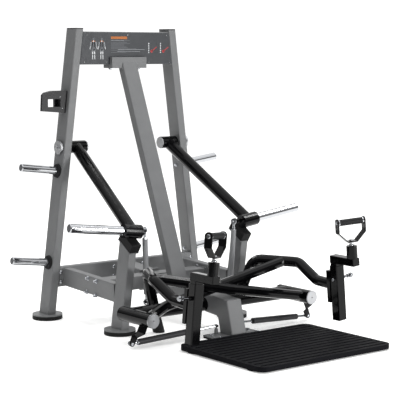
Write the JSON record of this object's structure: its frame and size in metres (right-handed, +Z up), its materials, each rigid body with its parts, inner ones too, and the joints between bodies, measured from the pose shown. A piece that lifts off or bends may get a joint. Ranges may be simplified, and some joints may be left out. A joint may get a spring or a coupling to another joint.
{
  "type": "plate-loaded shrug machine",
  "caption": "Standing shrug machine with twin crossing lever arms, swivel D handles, dampers, lift rods, weight arms with plate horns, storage pegs and a ribbed foot platform.",
  "frame": {"origin": "floor level, at the centre of the overall bounding box seen from above", "axes": "+Z up, -Y towards the user's platform, +X to the right seen from the platform side of the machine"},
  "size_m": [1.5632, 1.841, 1.624],
  "materials": {
    "grey_paint": "mid grey powder coat on steel",
    "black_paint": "gloss black powder coat on steel",
    "panel_paint": "dark grey printed steel sheet",
    "damper_paint": "dark grey textured paint on steel",
    "chrome": "polished chrome",
    "brushed_steel": "turned bright steel",
    "rubber": "matt black rubber",
    "platform_rubber": "black ribbed rubber with a slight sheen",
    "plastic": "black moulded plastic"
  },
  "bodies": {
    "frame": {"centre_foot_pad": "rubber", "foot_pad_front_left": "rubber", "foot_pad_front_right": "rubber", "foot_pad_rear_left": "rubber", "foot_pad_rear_right": "rubber", "front_post_left": "grey_paint", "front_post_right": "grey_paint", "header_beam": "grey_paint", "header_panel": "panel_paint", "holder": "plastic", "hub_axle_left": "brushed_steel", "hub_axle_right": "brushed_steel", "hub_carrier_left": "black_paint", "hub_carrier_right": "black_paint", "mast": "grey_paint", "middle_frame": "grey_paint", "peg_collar_lower_left": "rubber", "peg_collar_lower_right": "rubber", "peg_collar_upper_left": "rubber", "peg_collar_upper_right": "rubber", "platform": "platform_rubber", "post_bumper_left": "rubber", "post_bumper_right": "rubber", "rear_beam": "grey_paint", "side_rail_left": "grey_paint", "side_rail_right": "grey_paint", "storage_peg_lower_left": "chrome", "storage_peg_lower_right": "chrome", "storage_peg_upper_left": "chrome", "storage_peg_upper_right": "chrome", "upright_cap_left": "plastic", "upright_cap_right": "plastic", "upright_left": "grey_paint", "upright_right": "grey_paint", "weight_pivot_left": "brushed_steel", "weight_pivot_right": "brushed_steel"},
    "lever_left": {"lever_arm_left": "black_paint", "arm_foot_left": "rubber", "handle_post_left": "black_paint"},
    "weight_arm_left": {"weight_arm_left": "black_paint", "weight_horn_left": "chrome"},
    "lift_rod_left": {"lift_rod_left": "grey_paint"},
    "slider_left": {"handle_slider_left": "black_paint"},
    "pull_pin_left": {"pull_pin_left": "chrome"},
    "strap_left": {"handle_strap_left": "black_paint"},
    "grip_left": {"handle_grip_left": "rubber"},
    "damper_body_left": {"damper_body_left": "damper_paint"},
    "damper_rod_left": {"damper_rod_left": "chrome"},
    "lever_right": {"lever_arm_right": "black_paint", "arm_foot_right": "rubber", "handle_post_right": "black_paint"},
    "weight_arm_right": {"weight_arm_right": "black_paint", "weight_horn_right": "chrome"},
    "lift_rod_right": {"lift_rod_right": "grey_paint"},
    "slider_right": {"handle_slider_right": "black_paint"},
    "pull_pin_right": {"pull_pin_right": "chrome"},
    "strap_right": {"handle_strap_right": "black_paint"},
    "grip_right": {"handle_grip_right": "rubber"},
    "damper_body_right": {"damper_body_right": "damper_paint"},
    "damper_rod_right": {"damper_rod_right": "chrome"}
  },
  "joints": [
    {"name": "lever_left_swing", "type": "hinge", "parent": "frame", "child": "lever_left", "pos_m": [0.54, -0.0705, 0.151], "axis": [0, 1, 0], "range_deg": [0, 10]},
    {"name": "weight_arm_left_swing", "type": "hinge", "parent": "frame", "child": "weight_arm_left", "pos_m": [0, 0.8305, 0.96], "axis": [-1, 0, 0], "range_deg": [0, 11.8]},
    {"name": "lift_rod_left_turn", "type": "hinge", "parent": "weight_arm_left", "child": "lift_rod_left", "pos_m": [-0.308, 0.19178, 0.55209], "axis": [0.9002, 0.0127, -0.4353], "range_deg": [0, 25]},
    {"name": "slider_left_slide", "type": "slide", "parent": "lever_left", "child": "slider_left", "axis": [0.0931, 0, 0.9957], "range_m": [0, 0.1]},
    {"name": "pull_pin_left_slide", "type": "slide", "parent": "lever_left", "child": "pull_pin_left", "axis": [-0.9957, 0, 0.0931], "range_m": [0, 0.012], "stiffness_N_per_m": 600, "springref_m": -0.006},
    {"name": "strap_left_swivel", "type": "hinge", "parent": "slider_left", "child": "strap_left", "pos_m": [-0.46015, -0.5895, 0.49247], "axis": [0.0931, 0, 0.9957], "continuous": true},
    {"name": "grip_left_spin", "type": "hinge", "parent": "strap_left", "child": "grip_left", "pos_m": [-0.44833, -0.5895, 0.61892], "axis": [-0.9096, -0.4067, 0.085], "continuous": true},
    {"name": "damper_left_tilt", "type": "hinge", "parent": "frame", "child": "damper_rod_left", "pos_m": [-0.078, -0.1312, 0.058], "axis": [-0.065, -0.984, -0.166], "range_deg": [0, 1.3]},
    {"name": "damper_left_stroke", "type": "slide", "parent": "damper_rod_left", "child": "damper_body_left", "axis": [0.9953, -0.076, 0.0608], "range_m": [0, 0.023]},
    {"name": "lever_right_swing", "type": "hinge", "parent": "frame", "child": "lever_right", "pos_m": [-0.54, -0.0705, 0.151], "axis": [0, -1, 0], "range_deg": [0, 10]},
    {"name": "weight_arm_right_swing", "type": "hinge", "parent": "frame", "child": "weight_arm_right", "pos_m": [0, 0.8305, 0.96], "axis": [-1, 0, 0], "range_deg": [0, 11.8]},
    {"name": "lift_rod_right_turn", "type": "hinge", "parent": "weight_arm_right", "child": "lift_rod_right", "pos_m": [0.308, 0.19178, 0.55209], "axis": [0.9002, -0.0127, 0.4353], "range_deg": [0, 25]},
    {"name": "slider_right_slide", "type": "slide", "parent": "lever_right", "child": "slider_right", "axis": [-0.0931, 0, 0.9957], "range_m": [0, 0.1]},
    {"name": "pull_pin_right_slide", "type": "slide", "parent": "lever_right", "child": "pull_pin_right", "axis": [0.9957, 0, 0.0931], "range_m": [0, 0.012], "stiffness_N_per_m": 600, "springref_m": -0.006},
    {"name": "strap_right_swivel", "type": "hinge", "parent": "slider_right", "child": "strap_right", "pos_m": [0.46015, -0.5895, 0.49247], "axis": [-0.0931, 0, 0.9957], "continuous": true},
    {"name": "grip_right_spin", "type": "hinge", "parent": "strap_right", "child": "grip_right", "pos_m": [0.44833, -0.5895, 0.61892], "axis": [0.9356, -0.342, 0.0875], "continuous": true},
    {"name": "damper_right_tilt", "type": "hinge", "parent": "frame", "child": "damper_body_right", "pos_m": [0.078, -0.1312, 0.058], "axis": [-0.065, 0.984, 0.166], "range_deg": [0, 1.3]},
    {"name": "damper_right_stroke", "type": "slide", "parent": "damper_body_right", "child": "damper_rod_right", "axis": [-0.9953, -0.076, 0.0608], "range_m": [0, 0.023]}
  ],
  "couplings": [
    {"joint": "weight_arm_left_swing", "follows": "lever_left_swing", "ratio": 1.168},
    {"joint": "lift_rod_left_turn", "follows": "lever_left_swing", "ratio": 2.4675},
    {"joint": "damper_left_tilt", "follows": "lever_right_swing", "ratio": 0.11773},
    {"joint": "damper_left_stroke", "follows": "lever_right_swing", "m_per_rad": 0.12545},
    {"joint": "weight_arm_right_swing", "follows": "lever_right_swing", "ratio": 1.168},
    {"joint": "lift_rod_right_turn", "follows": "lever_right_swing", "ratio": 2.4675},
    {"joint": "damper_right_tilt", "follows": "lever_left_swing", "ratio": 0.11773},
    {"joint": "damper_right_stroke", "follows": "lever_left_swing", "m_per_rad": 0.12545}
  ]
}
